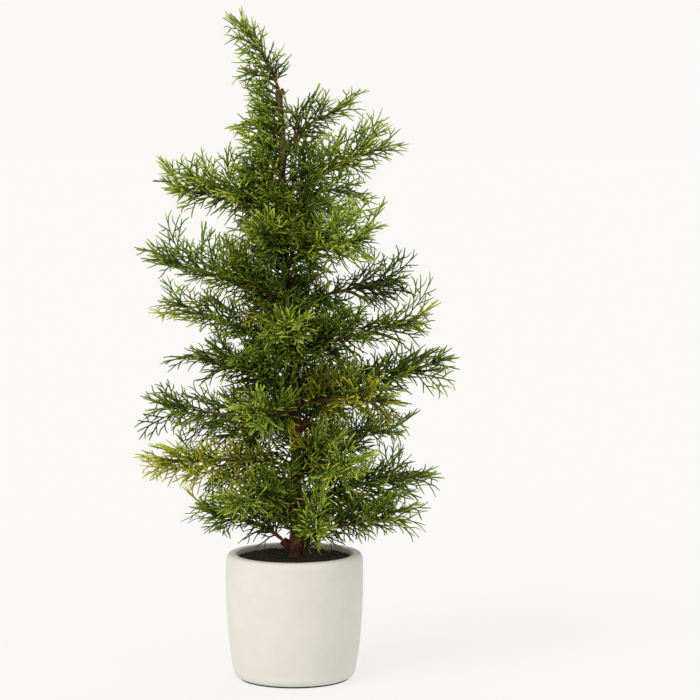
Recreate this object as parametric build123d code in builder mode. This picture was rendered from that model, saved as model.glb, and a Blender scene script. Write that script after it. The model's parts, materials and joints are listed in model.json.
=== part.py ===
"""Artificial tabletop evergreen in a round cement pot, about 610 mm tall.

Frame: millimetres, +Z up, origin at the middle of the pot's underside, on the surface it stands on.
+X is the tree's right-hand side and -Y is its front. Bearings are degrees about +Z from +X.

The pot is weighted by a plaster ballast and packed with foam. A steel core wire stands in both and
carries four moulded bark sleeves. Each sleeve has short stubs with a cup at the end. Every branch is
a wire-cored stem whose ball end sits in such a cup, with a spray of moulded foliage around it.
"""

import os
from collections import namedtuple

from build123d import *

os.makedirs("parts", exist_ok=True)

# ---------------------------------------------------------------- driving dimensions, in mm
FELT_RADIUS = 50.0
FELT_THICKNESS = 1.5

POT_HEIGHT = 113.5
POT_TOP_RADIUS = 62.0
POT_BASE_RADIUS = 59.8
POT_WALL = 10.0
POT_FLOOR = 12.0
POT_CORNER_RADIUS = 9.5
POT_RIM_RADIUS = 2.6

BALLAST_TOP = 52.0
FOAM_TOP = 96.0
SOIL_TOP = 108.5
FILL_GAP = 0.2

CORE_RADIUS = 1.6
CORE_FOOT = 20.0
CORE_TOP = 522.0
CORE_GAP = 0.15

CUP_GAP = 0.3
CUP_WALL = 1.1
STUB_ROOT_WALL = 1.8
STUB_LEAST_LENGTH = 6.0
BALL_RADIUS = 2.3
SMALL_BALL_RADIUS = 1.9
STEM_ROOT_SHARE = 0.78
STEM_ELBOW_SHARE = 0.62
STEM_TIP_RADIUS = 0.6

SPRAY_THICKNESS_SHARE = 0.31
SPRAY_EDGE_TAPER = 28.0
STEM_REACH_IN_SPRAY = 0.8
# The spray's outline from its elbow to its tip, as shares of its length and of its half width.
SPRAY_SIDE = [(0, 0.3), (0.3, 0.8), (0.6, 1.0), (0.86, 0.66), (1.0, 0.22)]

# The trunk's centre line from the soil to the top knot: x, z and the bark's radius.
TRUNK_LINE = [
    (2.7, 88.0, 7.2),
    (2.7, 105.0, 7.0),
    (2.7, 118.0, 8.6),
    (2.2, 132.0, 6.0),
    (1.4, 154.0, 4.9),
    (1.4, 190.0, 4.6),
    (2.3, 228.0, 4.5),
    (0.5, 256.0, 4.1),
    (0.5, 298.0, 3.8),
    (-6.0, 355.0, 3.5),
    (-9.5, 396.0, 3.3),
    (-11.0, 437.0, 3.1),
    (-10.0, 474.0, 2.9),
    (-10.5, 498.0, 2.7),
    (-13.0, 526.0, 3.4),
]
BARK_FOOT_X, BARK_FOOT, BARK_FOOT_RADIUS = TRUNK_LINE[0]
BARK_TOP = TRUNK_LINE[-1][1]

# The bark sleeves, by name, with the heights where each begins and ends.
SLEEVES = {
    "trunk_foot": (88.0, 138.0),
    "trunk_lower": (138.2, 272.0),
    "trunk_upper": (272.2, 408.0),
    "trunk_top": (408.2, 526.0),
}

Branch = namedtuple(
    "Branch",
    "name moulded_in_one cup_height cup_out bearing stem_rise stem_length "
    "spray_rise spray_length spray_width",
)

# One row per branch, from the pot upwards. cup_height and cup_out place the cup's centre: its height,
# and its distance from the trunk's centre line. Rises are degrees above the horizontal.
BRANCHES = [
    Branch("left_low", False, 125, 13, 187, 42, 22, 15, 87, 62),
    Branch("right_low", False, 125, 13, 346, 42, 22, 8, 82, 62),
    Branch("front_low", True, 124, 12, 299, 38, 12, 25, 56, 40),
    Branch("back_low", False, 125, 13, 98, 40, 20, 9, 92, 60),
    Branch("right_fork", False, 160, 11, 12, 26, 22, 8, 110, 64),
    Branch("front_left_low", True, 158, 10, 234, 30, 14, 6, 88, 54),
    Branch("left_yellow", False, 194, 11, 197, 12, 22, 2, 118, 68),
    Branch("right_back_low", False, 194, 11, 44, 20, 22, 11, 108, 62),
    Branch("front_right_low", True, 190, 10, 302, 22, 14, 6, 90, 56),
    Branch("left_broad", False, 226, 11, 165, 20, 22, 8, 114, 66),
    Branch("right_thick", False, 234, 11, 8, 42, 28, 19, 128, 62),
    Branch("front_left_mid", True, 238, 10, 248, 20, 14, 6, 86, 54),
    Branch("back_mid", False, 236, 11, 94, 25, 20, 11, 98, 62),
    Branch("front_right_yellow", False, 250, 10, 320, 12, 20, 3, 99, 56),
    Branch("left_short", False, 263, 10, 206, 26, 20, 21, 82, 56),
    Branch("right_mid", False, 298, 10, 342, 20, 20, 13, 108, 60),
    Branch("left_pale", False, 300, 10, 168, 26, 22, 18, 114, 60),
    Branch("front_mid", True, 306, 9, 266, 25, 12, 12, 76, 52),
    Branch("back_high", False, 318, 10, 104, 25, 18, 14, 86, 56),
    Branch("right_dark", False, 338, 10, 22, 20, 20, 12, 108, 58),
    Branch("left_high", False, 344, 10, 193, 24, 20, 19, 112, 60),
    Branch("right_pale", False, 380, 9, 330, 20, 18, 13, 80, 56),
    Branch("front_high", True, 390, 9, 250, 25, 12, 12, 60, 46),
    Branch("left_top", False, 424, 9, 178, 14, 24, 11, 88, 52),
    Branch("back_right_top", True, 428, 9, 42, 20, 18, 12, 86, 52),
    Branch("right_top", False, 440, 9, 6, 26, 24, 28, 96, 50),
    Branch("right_tip", False, 484, 8, 346, 46, 18, 28, 63, 38),
    Branch("leader", False, 530, 0, 180, 68, 22, 60, 64, 40),
]


# ---------------------------------------------------------------- shared geometry
def trunk_x(z):
    """The x of the trunk's centre line at height z."""
    for (x0, z0, _), (x1, z1, _) in zip(TRUNK_LINE, TRUNK_LINE[1:]):
        if z <= z1:
            return x0 + (x1 - x0) * (z - z0) / (z1 - z0)
    return TRUNK_LINE[-1][0]


def bark_radius(z):
    """The bark's radius at height z."""
    for (_, z0, r0), (_, z1, r1) in zip(TRUNK_LINE, TRUNK_LINE[1:]):
        if z <= z1:
            return r0 + (r1 - r0) * (z - z0) / (z1 - z0)
    return TRUNK_LINE[-1][2]


def heading(bearing, rise):
    """The unit vector at this bearing and rise."""
    return Vector(1, 0, 0).rotate(Axis.Y, -rise).rotate(Axis.Z, bearing)


def cup_centre(branch):
    """Where the branch's ball end turns."""
    out = heading(branch.bearing, 0) * branch.cup_out
    return Vector(trunk_x(branch.cup_height), 0, branch.cup_height) + out


def elbow(branch):
    """Where the stem bends from its root direction to the spray's."""
    return cup_centre(branch) + heading(branch.bearing, branch.stem_rise) * branch.stem_length


def ball_radius(branch):
    """The radius of the branch's ball end."""
    return SMALL_BALL_RADIUS if branch.moulded_in_one else BALL_RADIUS


def spray_plane(branch):
    """The spray's own plane: x along its length, y across it, z out of its upper face."""
    along = heading(branch.bearing, branch.spray_rise)
    across = Vector(0, 0, 1).cross(heading(branch.bearing, 0))
    return Plane(origin=elbow(branch), x_dir=along, z_dir=along.cross(across))


def level_circle(x, z, radius):
    """A level circle on the plane of the trunk's bends, y = 0."""
    with BuildSketch(Plane(origin=(x, 0, z))) as level:
        Circle(radius)
    return level.sketch


def rod(start, end, start_radius, end_radius):
    """A tapered rod from start to end, added to the part being built."""
    run = end - start
    with Locations(Plane(origin=start, z_dir=run).location):
        Cone(start_radius, end_radius, run.length, align=(Align.CENTER, Align.CENTER, Align.MIN))


def stem(branch):
    """The ball end, the root rod, and the rod that runs on into the spray."""
    ball = ball_radius(branch)
    root, bend = cup_centre(branch), elbow(branch)
    inner_end = bend + spray_plane(branch).x_dir * (branch.spray_length * STEM_REACH_IN_SPRAY)
    with Locations(root):
        Sphere(ball)
    rod(root, bend, ball * STEM_ROOT_SHARE, ball * STEM_ELBOW_SHARE)
    with Locations(bend):
        Sphere(ball * STEM_ELBOW_SHARE)
    rod(bend, inner_end, ball * STEM_ELBOW_SHARE, STEM_TIP_RADIUS)


def spray(branch):
    """The foliage's outer shape: a leaf-shaped plate, thickest along its middle."""
    length, half = branch.spray_length, branch.spray_width / 2
    right = [(along * length, -out * half) for along, out in SPRAY_SIDE]
    left = [(along * length, out * half) for along, out in reversed(SPRAY_SIDE)]
    with BuildSketch(spray_plane(branch)) as leaf:
        Polygon(*right, *left, align=None)
    half_thickness = branch.spray_width * SPRAY_THICKNESS_SHARE / 2
    extrude(leaf.sketch, amount=half_thickness, both=True, taper=SPRAY_EDGE_TAPER)


# ---------------------------------------------------------------- pot and what fills it
with BuildPart() as base_felt:
    with BuildSketch():
        Circle(FELT_RADIUS)
    extrude(amount=FELT_THICKNESS)
base_felt.part.label = "base_felt"
export_step(base_felt.part, "parts/base_felt.step")

POT_INNER_TOP = POT_TOP_RADIUS - POT_WALL
POT_INNER_BASE = POT_BASE_RADIUS - POT_WALL


def pot_inner_radius(z):
    """The radius of the pot's inner wall at height z."""
    share = (z - FELT_THICKNESS) / (POT_HEIGHT - FELT_THICKNESS)
    return POT_INNER_BASE + (POT_INNER_TOP - POT_INNER_BASE) * share


with BuildPart() as pot:
    with BuildSketch(Plane.XZ) as pot_profile:
        with BuildLine():
            Polyline(
                (0, FELT_THICKNESS),
                (POT_BASE_RADIUS, FELT_THICKNESS),
                (POT_TOP_RADIUS, POT_HEIGHT),
                (POT_INNER_TOP, POT_HEIGHT),
                (pot_inner_radius(POT_FLOOR), POT_FLOOR),
                (0, POT_FLOOR),
                close=True,
            )
        make_face()
        outer_corner = pot_profile.vertices().group_by(Axis.Y)[0].sort_by(Axis.X)[-1]
        fillet(outer_corner, POT_CORNER_RADIUS)
        fillet(pot_profile.vertices().group_by(Axis.Y)[-1], POT_RIM_RADIUS)
    revolve(axis=Axis.Z)
pot.part.label = "pot"
export_step(pot.part, "parts/pot.step")


def fill(low, high):
    """A plug of the pot's bore between two heights, bored for the core wire."""
    with BuildSketch(Plane.XZ) as profile:
        with BuildLine():
            Polyline(
                (0, low),
                (pot_inner_radius(low) - FILL_GAP, low),
                (pot_inner_radius(high) - FILL_GAP, high),
                (0, high),
                close=True,
            )
        make_face()
    revolve(profile.sketch, axis=Axis.Z)


# ---------------------------------------------------------------- core wire
def core_stations():
    """The core wire's points: straight down from the trunk line's foot, and along it to the top."""
    inside = [(x, z) for x, z, _ in TRUNK_LINE if z < CORE_TOP]
    return [(inside[0][0], CORE_FOOT)] + inside + [(trunk_x(CORE_TOP), CORE_TOP)]


def core_shape(radius):
    """The core wire at a given radius, lofted through level circles."""
    loft([level_circle(x, z, radius) for x, z in core_stations()], ruled=True)


with BuildPart() as trunk_core:
    core_shape(CORE_RADIUS)
trunk_core.part.label = "trunk_core"
export_step(trunk_core.part, "parts/trunk_core.step")

with BuildPart() as core_bore:
    core_shape(CORE_RADIUS + CORE_GAP)

for fill_name, fill_low, fill_high in (
    ("ballast", POT_FLOOR, BALLAST_TOP),
    ("foam_block", BALLAST_TOP, FOAM_TOP),
    ("soil", FOAM_TOP, SOIL_TOP),
):
    with BuildPart() as filling:
        fill(fill_low, fill_high)
        add(core_bore.part, mode=Mode.SUBTRACT)
        if fill_high > BARK_FOOT:
            with Locations((BARK_FOOT_X, 0, BARK_FOOT)):
                Cylinder(
                    BARK_FOOT_RADIUS + FILL_GAP,
                    POT_HEIGHT - BARK_FOOT,
                    align=(Align.CENTER, Align.CENTER, Align.MIN),
                    mode=Mode.SUBTRACT,
                )
    filling.part.label = fill_name
    export_step(filling.part, f"parts/{fill_name}.step")


# ---------------------------------------------------------------- bark sleeves
def sleeve_stations(low, high):
    """The level circles that a sleeve is lofted through."""
    middle = [(x, z, r) for x, z, r in TRUNK_LINE if low < z < high]
    return [(trunk_x(low), low, bark_radius(low))] + middle + [(trunk_x(high), high, bark_radius(high))]


for sleeve_name, (sleeve_low, sleeve_high) in SLEEVES.items():
    owned = [b for b in BRANCHES if sleeve_low < min(b.cup_height, BARK_TOP) <= sleeve_high]
    with BuildPart() as sleeve:
        loft([level_circle(*station) for station in sleeve_stations(sleeve_low, sleeve_high)], ruled=True)
        for branch in owned:
            mouth = cup_centre(branch)
            stub_length = max(branch.cup_out, STUB_LEAST_LENGTH)
            inward = heading(branch.bearing, branch.stem_rise) * -stub_length
            cup_radius = ball_radius(branch) + CUP_GAP
            rod(mouth + inward, mouth, cup_radius + STUB_ROOT_WALL, cup_radius + CUP_WALL)
        for branch in owned:
            with Locations(cup_centre(branch)):
                Sphere(ball_radius(branch) + CUP_GAP, mode=Mode.SUBTRACT)
        add(core_bore.part, mode=Mode.SUBTRACT)
    sleeve.part.label = sleeve_name
    export_step(sleeve.part, f"parts/{sleeve_name}.step")


# ---------------------------------------------------------------- branches
for branch in BRANCHES:
    if branch.moulded_in_one:
        with BuildPart() as sprig:
            stem(branch)
            spray(branch)
        sprig.part.label = f"{branch.name}_sprig"
        export_step(sprig.part, f"parts/{branch.name}_sprig.step")
        continue
    with BuildPart() as twig:
        stem(branch)
    twig.part.label = f"{branch.name}_stem"
    export_step(twig.part, f"parts/{branch.name}_stem.step")
    with BuildPart() as foliage:
        spray(branch)
    foliage.part.label = f"{branch.name}_foliage"
    export_step(foliage.part, f"parts/{branch.name}_foliage.step")
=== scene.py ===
"""Artificial tabletop evergreen in a round cement pot: its looks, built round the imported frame.

Lengths are metres unless a name ends in _mm. +Z is up the tree, +X its right-hand side and -Y its
front. Every branch takes its place, its direction and its reach from the frame's own nodes and
joints, so a branch that moves in the frame moves here too.
"""

import json
import logging
import math
from collections.abc import Iterable, Sequence
from dataclasses import dataclass, field
from enum import Enum

import bpy
import numpy as np
from bpy.types import Material, Mesh, Node, NodeSocket, NodeTree, Object
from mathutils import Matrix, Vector, noise


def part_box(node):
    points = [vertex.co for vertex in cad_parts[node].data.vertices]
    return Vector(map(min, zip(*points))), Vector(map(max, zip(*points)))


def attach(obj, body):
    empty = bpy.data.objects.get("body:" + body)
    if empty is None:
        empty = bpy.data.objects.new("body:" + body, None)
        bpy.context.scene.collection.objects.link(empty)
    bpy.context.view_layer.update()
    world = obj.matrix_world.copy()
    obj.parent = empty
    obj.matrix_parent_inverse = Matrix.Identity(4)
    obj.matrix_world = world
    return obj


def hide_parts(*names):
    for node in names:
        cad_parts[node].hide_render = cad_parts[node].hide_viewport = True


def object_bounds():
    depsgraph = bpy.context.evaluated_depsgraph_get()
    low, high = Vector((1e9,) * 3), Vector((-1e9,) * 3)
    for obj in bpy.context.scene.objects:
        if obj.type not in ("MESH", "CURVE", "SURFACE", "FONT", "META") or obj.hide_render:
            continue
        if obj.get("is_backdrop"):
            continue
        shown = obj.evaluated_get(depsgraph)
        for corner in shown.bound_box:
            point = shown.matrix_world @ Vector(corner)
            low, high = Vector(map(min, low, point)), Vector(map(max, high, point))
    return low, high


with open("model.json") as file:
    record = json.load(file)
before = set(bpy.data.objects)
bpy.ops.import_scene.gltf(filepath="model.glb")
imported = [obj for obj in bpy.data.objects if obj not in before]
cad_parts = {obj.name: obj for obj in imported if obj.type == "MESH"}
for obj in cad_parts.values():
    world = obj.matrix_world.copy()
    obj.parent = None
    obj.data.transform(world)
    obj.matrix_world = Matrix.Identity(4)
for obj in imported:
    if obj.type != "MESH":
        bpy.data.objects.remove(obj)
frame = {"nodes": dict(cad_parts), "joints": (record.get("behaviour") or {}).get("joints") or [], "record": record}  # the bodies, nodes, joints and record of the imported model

log = logging.getLogger("tabletop_tree")
MM = 0.001
SEED = 4107
SPRIGS_MM = (20, 24, 27, 30, 33, 33, 36, 39, 39, 42, 45, 45, 48, 52, 56)  # the moulded sprigs
WIDEST_AT = 0.6  # a spray is widest at this share of its length
# The foliage's age mark also carries painted shade: it is lowered for sprigs deep inside the tree.
LEAF = "leaf"  # point attribute of foliage: age, yellowing, chance
WOOD = "wood"  # point attribute of stems: greening, knot, chance
Range = tuple[float, float]  # the least and the most, or the first and the last
Curve = tuple[tuple[float, ...], tuple[float, ...]]  # places, and the value at each of them


# ------------------------------------------------------------------ small tools
def linear(code: str) -> tuple[float, float, float, float]:
    """Turn an sRGB hex colour into linear RGBA.

    Args:
        code: The colour, such as "#6a9a3a".

    Returns:
        Linear red, green, blue and an alpha of 1.
    """
    shares = [int(code[i : i + 2], 16) / 255 for i in (1, 3, 5)]
    flat = [s / 12.92 if s <= 0.04045 else ((s + 0.055) / 1.055) ** 2.4 for s in shares]
    return (*flat, 1.0)


def add_node(
    tree: NodeTree,
    kind: str,
    settings: dict | None = None,
    links: dict | None = None,
) -> Node:
    """Add one shader node with its settings and links.

    Args:
        tree: The material's node tree.
        kind: The node's type, such as "ShaderNodeTexNoise".
        settings: Names of sockets or properties, and their values.
        links: Names or numbers of this node's inputs, and the output socket that feeds each.

    Returns:
        The new node.
    """
    node = tree.nodes.new(kind)
    for name, value in (settings or {}).items():
        if name in node.inputs:
            node.inputs[name].default_value = value
        else:
            setattr(node, name, value)
    for name, source in (links or {}).items():
        tree.links.new(source, node.inputs[name])
    return node


def feed(tree: NodeTree, target: NodeSocket, source: NodeSocket | str) -> None:
    """Link an output to an input, or set the input to an sRGB hex colour."""
    if isinstance(source, str):
        target.default_value = linear(source)
    else:
        tree.links.new(source, target)


def add_ramp(tree: NodeTree, stops: Iterable[tuple[float, str]], factor: NodeSocket) -> NodeSocket:
    """Add a colour ramp.

    Args:
        tree: The material's node tree.
        stops: Places from 0 to 1 with an sRGB hex colour each.
        factor: What drives the ramp.

    Returns:
        The ramp's colour output.
    """
    node = add_node(tree, "ShaderNodeValToRGB", links={"Fac": factor})
    elements, stops = node.color_ramp.elements, list(stops)
    while len(elements) < len(stops):
        elements.new(0.5)
    for element, (place, code) in zip(elements, stops):
        element.position = place
        element.color = linear(code)
    return node.outputs["Color"]


def add_noise(tree: NodeTree, place: NodeSocket, grain_mm: float, **settings: float) -> NodeSocket:
    """Add noise with grains of a real size; settings are its other sockets, such as Detail."""
    settings["Scale"] = 1 / (grain_mm * MM)
    return add_node(tree, "ShaderNodeTexNoise", settings, {"Vector": place}).outputs["Fac"]


def add_mix(tree: NodeTree, factor: NodeSocket, one: NodeSocket, other: NodeSocket | str) -> NodeSocket:
    """Mix two colours: factor is 0 for the first and 1 for the other, which may be a hex colour."""
    node = add_node(tree, "ShaderNodeMix", {"data_type": "RGBA"}, {0: factor, 6: one})
    feed(tree, node.inputs[7], other)
    return node.outputs[2]


def add_range(tree: NodeTree, value: NodeSocket, start: Range, end: Range) -> NodeSocket:
    """Map a value from the start range to the end range, and keep it inside."""
    limits = dict(zip(("From Min", "From Max", "To Min", "To Max"), (*start, *end)))
    return add_node(tree, "ShaderNodeMapRange", limits, {"Value": value}).outputs["Result"]


def finish_surface(
    tree: NodeTree, colour: NodeSocket | str, height: NodeSocket, strength: float, depth_mm: float
) -> None:
    """Colour a material's surface and roughen it.

    Args:
        tree: The material's node tree.
        colour: Its colour, or the sRGB hex of an even one.
        height: What drives the bumps.
        strength: How strong they are, from 0 to 1.
        depth_mm: How deep they look.
    """
    surface = tree.nodes["Principled BSDF"]
    settings = {"Strength": strength, "Distance": depth_mm * MM}
    bump = add_node(tree, "ShaderNodeBump", settings, {"Height": height})
    feed(tree, surface.inputs["Base Color"], colour)
    tree.links.new(bump.outputs["Normal"], surface.inputs["Normal"])


def new_material(name: str) -> tuple[Material, NodeTree, Node, NodeSocket]:
    """Start a node material.

    Args:
        name: The finish's name.

    Returns:
        The material, its node tree, its Principled BSDF, and the piece's own coordinates.
    """
    material = bpy.data.materials.new(name)
    material.use_nodes = True
    tree = material.node_tree
    place = add_node(tree, "ShaderNodeTexCoord").outputs["Object"]
    return material, tree, tree.nodes["Principled BSDF"], place


def read_marks(tree: NodeTree, attribute: str) -> tuple[NodeSocket, ...]:
    """Read the three marks that a point attribute holds, as one output each."""
    marks = add_node(tree, "ShaderNodeAttribute", {"attribute_name": attribute})
    parts = add_node(tree, "ShaderNodeSeparateColor", links={"Color": marks.outputs["Color"]})
    return tuple(parts.outputs)


def deselect() -> None:
    """Leave edit mode and clear the selection."""
    if bpy.context.object and bpy.context.object.mode != "OBJECT":
        bpy.ops.object.mode_set(mode="OBJECT")
    bpy.ops.object.select_all(action="DESELECT")


def add_piece(name: str, mesh: Mesh) -> Object:
    """Put a mesh into the scene as the one selected, active object."""
    deselect()
    piece = bpy.data.objects.new(name, mesh)
    bpy.context.scene.collection.objects.link(piece)
    bpy.context.view_layer.objects.active = piece
    piece.select_set(True)
    return piece


def edit_all() -> None:
    """Enter edit mode with the whole mesh selected."""
    bpy.ops.object.mode_set(mode="EDIT")
    bpy.ops.mesh.select_all(action="SELECT")


def dress(piece: Object, material: Material) -> None:
    """Give a piece one material all over."""
    piece.data.materials.clear()
    piece.data.materials.append(material)


def settle(piece: Object, body: str, slot: str, *stands_for: str) -> None:
    """Fix a finished piece to its body.

    Args:
        piece: The piece, with its place in its mesh.
        body: The body it moves with.
        slot: The record's material slot for the piece; not used.
        *stands_for: The frame's nodes that it replaces.
    """
    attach(piece, body)
    if stands_for:
        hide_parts(*stands_for)


def vertices(piece: Object) -> np.ndarray:
    """A piece's vertices, one row each."""
    co = np.zeros(len(piece.data.vertices) * 3)
    piece.data.vertices.foreach_get("co", co)
    return co.reshape(-1, 3)


def on_curve(place: float, curve: Curve) -> float:
    """The curve's value at a place, in straight lines between its own places."""
    return float(np.interp(place, *curve))


def unit(vector: np.ndarray) -> np.ndarray:
    """The vector at length 1."""
    return vector / np.linalg.norm(vector)


def turned(vector: np.ndarray, axis: np.ndarray, angle: float) -> np.ndarray:
    """The vector turned about an axis of length 1, in radians by the right-hand rule."""
    across = np.cross(axis, vector)
    along = axis * (axis @ vector) * (1 - math.cos(angle))
    return vector * math.cos(angle) + across * math.sin(angle) + along


# ------------------------------------------------------------------ finishes
@dataclass(frozen=True)
class CementFinish:
    """Fine cast cement: an even off-white, dead matt, with faint clouding and pinhole pores."""

    name: str = "cast_cement"
    pale: str = "#d5d3ca"
    shade: str = "#d0cec5"
    pore: str = "#bdbbb1"
    cloud_mm: float = 18.0
    pore_spacing_mm: float = 6.5
    pore_edges: Range = (0.03, 0.07)
    grain_mm: float = 0.9

    def build(self) -> Material:
        """Build the material."""
        material, tree, surface, place = new_material(self.name)
        cloud = add_noise(tree, place, self.cloud_mm, Detail=5.0, Roughness=0.6)
        body = add_ramp(tree, ((0.32, self.shade), (0.68, self.pale)), cloud)
        spacing = {"Scale": 1 / (self.pore_spacing_mm * MM)}
        pores = add_node(tree, "ShaderNodeTexVoronoi", spacing, {"Vector": place})
        pit = add_range(tree, pores.outputs["Distance"], self.pore_edges, (1.0, 0.0))
        grain = add_noise(tree, place, self.grain_mm, Detail=3.0)
        height = add_node(tree, "ShaderNodeMath", {"operation": "SUBTRACT"}, {0: grain, 1: pit})
        pitted = add_mix(tree, pit, body, self.pore)
        finish_surface(tree, pitted, height.outputs["Value"], strength=0.18, depth_mm=0.25)
        surface.inputs["Roughness"].default_value = 0.86
        surface.inputs["IOR"].default_value = 1.5
        surface.inputs["Specular IOR Level"].default_value = 0.25
        return material


@dataclass(frozen=True)
class BarkFinish:
    """Moulded polyethylene bark: red-brown with dark furrows low down, and olive-brown near the top.

    Its shades are those of the furrows, the face and the ridges, and turns_young holds the heights
    between which the old ones give way to the young.
    """

    name: str = "moulded_bark"
    old: tuple[str, str, str] = ("#210c06", "#55250f", "#7f4424")
    young: tuple[str, str, str] = ("#231f0b", "#54461d", "#806a35")
    turns_young: Range = (0.39, 0.47)
    fibre_mm: float = 2.4
    stretch: float = 0.22

    def build(self) -> Material:
        """Build the material."""
        material, tree, surface, place = new_material(self.name)
        drawn_out = add_node(
            tree, "ShaderNodeMapping", {"Scale": (1.0, 1.0, self.stretch)}, {"Vector": place}
        ).outputs["Vector"]
        fibre = add_noise(tree, drawn_out, self.fibre_mm, Detail=6.0, Roughness=0.65)
        furrow_face_ridge = (0.34, 0.52, 0.72)
        old, young = (
            add_ramp(tree, zip(furrow_face_ridge, shades), fibre) for shades in (self.old, self.young)
        )
        height = add_node(tree, "ShaderNodeSeparateXYZ", links={"Vector": place}).outputs["Z"]
        turning = add_range(tree, height, self.turns_young, (0.0, 1.0))
        finish_surface(tree, add_mix(tree, turning, old, young), fibre, strength=0.6, depth_mm=0.5)
        surface.inputs["Roughness"].default_value = 0.62
        surface.inputs["Specular IOR Level"].default_value = 0.35
        return material


@dataclass(frozen=True)
class StemFinish:
    """Moulded polyethylene over wire: brown at the root and at each knot, and green further out."""

    name: str = "moulded_stem"
    brown: tuple[str, str] = ("#3a1b0e", "#7a4420")
    green: tuple[str, str] = ("#24380f", "#4d6d22")
    knot: str = "#8a4d1d"
    mottle_mm: float = 2.0

    def build(self) -> Material:
        """Build the material."""
        material, tree, surface, place = new_material(self.name)
        mottle = add_noise(tree, place, self.mottle_mm, Detail=4.0)
        brown, green = (
            add_ramp(tree, zip((0.35, 0.65), shades), mottle) for shades in (self.brown, self.green)
        )
        greening, knotted, _ = read_marks(tree, WOOD)
        body = add_mix(tree, greening, brown, green)
        colour = add_mix(tree, knotted, body, self.knot)
        finish_surface(tree, colour, mottle, strength=0.4, depth_mm=0.25)
        surface.inputs["Roughness"].default_value = 0.55
        return material


@dataclass(frozen=True)
class FoliageFinish:
    """Moulded polyethylene foliage: deep green where it is old, fresh green at the tips, waxy satin.

    The piece's own marks say how new each twig is and how far it has turned yellow; the age mark
    also carries painted shade, low at the sprig bases and deep inside the tree. Both rows of
    colours run from the oldest growth to the newest.
    """

    name: str = "moulded_foliage"
    # The darkest green is partly the old growth's own colour and partly painted shade for the inside of
    # the tree.
    green: tuple[str, ...] = ("#1e2704", "#43550c", "#6f881c", "#b2c14e")
    yellow: tuple[str, ...] = ("#4f4e0b", "#8f8c12", "#c4bd40")
    brightness: Range = (0.55, 1.5)
    speckle: Range = (0.85, 1.15)
    scale_leaf_mm: float = 1.1

    def build(self) -> Material:
        """Build the material."""
        material, tree, surface, place = new_material(self.name)
        age, yellowing, chance = read_marks(tree, LEAF)
        scales = add_noise(tree, place, self.scale_leaf_mm, Detail=2.0)
        green = add_ramp(tree, zip((0.0, 0.4, 0.78, 1.0), self.green), age)
        yellow = add_ramp(tree, zip((0.0, 0.5, 1.0), self.yellow), age)
        light = add_range(tree, chance, (0.0, 1.0), self.brightness)
        speckle = add_range(tree, scales, (0.3, 0.7), self.speckle)
        value = add_node(tree, "ShaderNodeMath", {"operation": "MULTIPLY"}, {0: light, 1: speckle})
        shaded = add_node(
            tree,
            "ShaderNodeHueSaturation",
            links={"Color": add_mix(tree, yellowing, green, yellow), "Value": value.outputs["Value"]},
        )
        finish_surface(tree, shaded.outputs["Color"], scales, strength=0.3, depth_mm=0.15)
        surface.inputs["Roughness"].default_value = 0.55
        surface.inputs["Specular IOR Level"].default_value = 0.22
        return material


@dataclass(frozen=True)
class GrainFinish:
    """A matt material of two or three colours in grains, for soil, felt, plaster, foam and wire."""

    name: str
    dark: str
    pale: str
    fleck: str
    grain_mm: float
    roughness: float
    metallic: float = 0.0
    fleck_share: float = 0.72

    def build(self) -> Material:
        """Build the material."""
        material, tree, surface, place = new_material(self.name)
        grain = add_noise(tree, place, self.grain_mm, Detail=4.0, Roughness=0.6)
        stops = ((0.3, self.dark), (0.6, self.pale), (self.fleck_share, self.fleck))
        finish_surface(tree, add_ramp(tree, stops, grain), grain, strength=0.5, depth_mm=0.3)
        surface.inputs["Roughness"].default_value = self.roughness
        surface.inputs["Metallic"].default_value = self.metallic
        return material


SOIL = GrainFinish("bonded_soil_granules", "#0c0905", "#2a2114", "#857553", 2.2, 0.92, fleck_share=0.78)
# Painted contact shadow: the felt pad under the pot is near-black, so the gap where the pot meets the
# floor reads dark.
FELT_CONTACT_SHADOW = GrainFinish("felt_painted_contact_shadow", "#141414", "#242322", "#3a3836", 0.8, 0.95)
PLASTER = GrainFinish("cast_plaster", "#b9b4a8", "#cfcabf", "#e2ded4", 6.0, 0.9)
FOAM = GrainFinish("floral_foam", "#16240f", "#24381a", "#3d5a2c", 1.2, 0.95)
WIRE = GrainFinish("annealed_steel_wire", "#3a3836", "#55524e", "#6e6a64", 3.0, 0.45, metallic=1.0)
HIDDEN = {"base_felt": FELT_CONTACT_SHADOW, "ballast": PLASTER, "foam_block": FOAM, "trunk_core": WIRE}


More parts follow.
